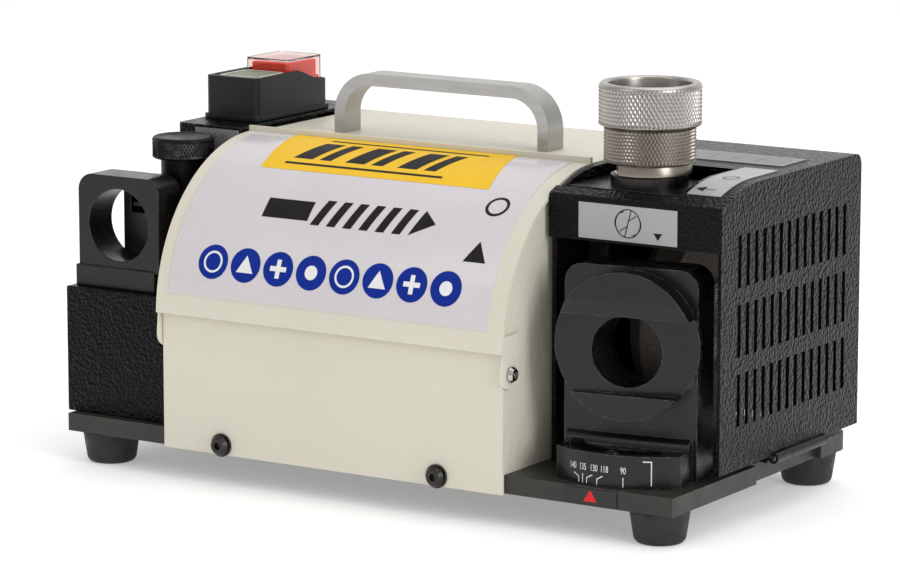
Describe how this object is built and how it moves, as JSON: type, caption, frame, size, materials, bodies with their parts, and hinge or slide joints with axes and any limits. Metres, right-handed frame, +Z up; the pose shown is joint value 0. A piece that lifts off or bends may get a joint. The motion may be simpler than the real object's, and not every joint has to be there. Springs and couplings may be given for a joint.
{
  "type": "drill bit sharpener",
  "caption": "Bench drill bit sharpener with a hinged wheel cover, swivelling angle holder, lift-out collet chuck, setting gauge, curved lid and carry handle.",
  "frame": {"origin": "on the floor under the middle of the machine's length and depth", "axes": "+X to the operator's right along the machine, +Y to the back, +Z up"},
  "size_m": [0.3224, 0.1698, 0.1848],
  "materials": {
    "cream_paint": "semi-gloss cream enamel with fine orange peel",
    "black_wrinkle_paint": "fine black wrinkle coating",
    "black_gloss_enamel": "glossy black enamel over machined iron",
    "plate_paint": "satin dark grey",
    "foot_rubber": "dull black rubber",
    "black_oxide_steel": "black oxide",
    "bright_steel": "bright turned steel",
    "hinge_steel": "blackened steel",
    "satin_aluminium": "satin anodised",
    "label_film": "glossy pale film",
    "scale_plate_metal": "grey printed plate",
    "pointer_film": "black film with a red pointer",
    "switch_plastic": "black moulded plastic",
    "knob_plastic": "black anodised, knurled rim",
    "green_plastic": "pale green moulded plastic",
    "red_plastic": "red moulded plastic",
    "clear_plastic": "clear plastic",
    "chuck_metal": "grey hard-coated metal with a knurl",
    "wheel_abrasive": "abrasive layer on a metal core",
    "motor_aluminium": "cast aluminium",
    "motor_core": "laminated steel with windings",
    "fan_plastic": "natural moulded plastic",
    "rack_steel": "grey painted sheet",
    "brush_plastic": "black moulded plastic"
  },
  "bodies": {
    "base": {"base_plate": "plate_paint", "rubber_feet": "foot_rubber", "foot_screws": "bright_steel", "motor_housing": "cream_paint", "front_panel": "cream_paint", "panel_screws": "black_oxide_steel", "panel_washers": "black_oxide_steel", "lid_pivot_screws": "bright_steel", "collet_rack": "rack_steel", "spare_collets": "bright_steel", "carry_handle": "satin_aluminium", "handle_screws": "bright_steel", "motor_casing": "motor_aluminium", "motor_stator": "motor_core", "brush_caps": "brush_plastic", "motor_end_bell_left": "motor_aluminium", "motor_end_bell_right": "motor_aluminium", "motor_bearings": "bright_steel", "motor_cradle": "motor_aluminium", "cradle_screws": "black_oxide_steel", "wheel_guard_plate": "black_wrinkle_paint", "hinge_leaf_fixed": "hinge_steel", "hinge_pin": "bright_steel", "swivel_pivot_pin": "bright_steel", "swivel_lock_screw": "black_oxide_steel", "pointer_plate": "pointer_film", "top_station_bracket": "black_gloss_enamel", "station_sleeve": "black_oxide_steel", "gauge_base_box": "black_wrinkle_paint", "setting_block": "black_gloss_enamel", "gauge_housing": "black_gloss_enamel", "control_box": "black_wrinkle_paint", "cable_gland": "switch_plastic", "switch_housing": "switch_plastic", "gauge_scale_plate": "scale_plate_metal"},
    "lid": {"curved_lid": "cream_paint", "lid_label": "label_film"},
    "spindle": {"motor_rotor": "motor_core", "cooling_fan": "fan_plastic", "wheel_flanges": "bright_steel", "grinding_wheel": "wheel_abrasive", "wheel_nut": "bright_steel"},
    "wheel_cover": {"right_cover": "black_wrinkle_paint", "hinge_leaf_moving": "hinge_steel", "header_plate": "scale_plate_metal", "web_scale_plate": "scale_plate_metal", "relief_scale_plate": "scale_plate_metal"},
    "swivel": {"swivel_holder": "black_gloss_enamel"},
    "chuck": {"chuck_body": "chuck_metal", "chuck_collet": "bright_steel"},
    "draw_ring": {"chuck_draw_ring": "chuck_metal"},
    "knob": {"adjusting_knob": "knob_plastic"},
    "drill_stop": {"drill_stop_slide": "bright_steel"},
    "start": {"start_button": "green_plastic"},
    "stop": {"stop_button": "red_plastic", "stop_button_cover": "clear_plastic"}
  },
  "joints": [
    {"name": "lid_hinge", "type": "hinge", "parent": "base", "child": "lid", "pos_m": [0, -0.077, 0.0655], "axis": [1, 0, 0], "range_deg": [0, 105]},
    {"name": "cover_hinge", "type": "hinge", "parent": "base", "child": "wheel_cover", "pos_m": [0.16, 0.0234, 0.0248], "axis": [0, 1, 0], "range_deg": [0, 95]},
    {"name": "spindle_spin", "type": "hinge", "parent": "base", "child": "spindle", "pos_m": [0, 0.02, 0.0767], "axis": [1, 0, 0], "continuous": true},
    {"name": "point_angle_swivel", "type": "hinge", "parent": "base", "child": "swivel", "pos_m": [0.117, -0.0273, 0.0228], "axis": [0, 0, 1], "range_deg": [-14.5, 10.5]},
    {"name": "chuck_lift", "type": "slide", "parent": "base", "child": "chuck", "axis": [0, 0, 1], "range_m": [0, 0.05]},
    {"name": "draw_ring_turn", "type": "hinge", "parent": "chuck", "child": "draw_ring", "pos_m": [0.1085, -0.0175, 0.17], "axis": [0, 0, 1], "range_deg": [0, 360]},
    {"name": "knob_turn", "type": "hinge", "parent": "base", "child": "knob", "pos_m": [-0.1226, -0.035, 0.14], "axis": [0, 0, 1], "range_deg": [-138, 138]},
    {"name": "drill_stop_rise", "type": "slide", "parent": "base", "child": "drill_stop", "axis": [0, 0, 1], "range_m": [-0.0023, 0.0023]},
    {"name": "start_press", "type": "slide", "parent": "base", "child": "start", "axis": [0, 0, -1], "range_m": [0, 0.0013], "stiffness_N_per_m": 600, "springref_m": -0.002},
    {"name": "stop_press", "type": "slide", "parent": "base", "child": "stop", "axis": [0, 0, -1], "range_m": [0, 0.0012], "stiffness_N_per_m": 600, "springref_m": -0.002}
  ],
  "couplings": [
    {"joint": "knob_turn", "follows": "drill_stop_rise", "rad_per_m": 1040}
  ]
}
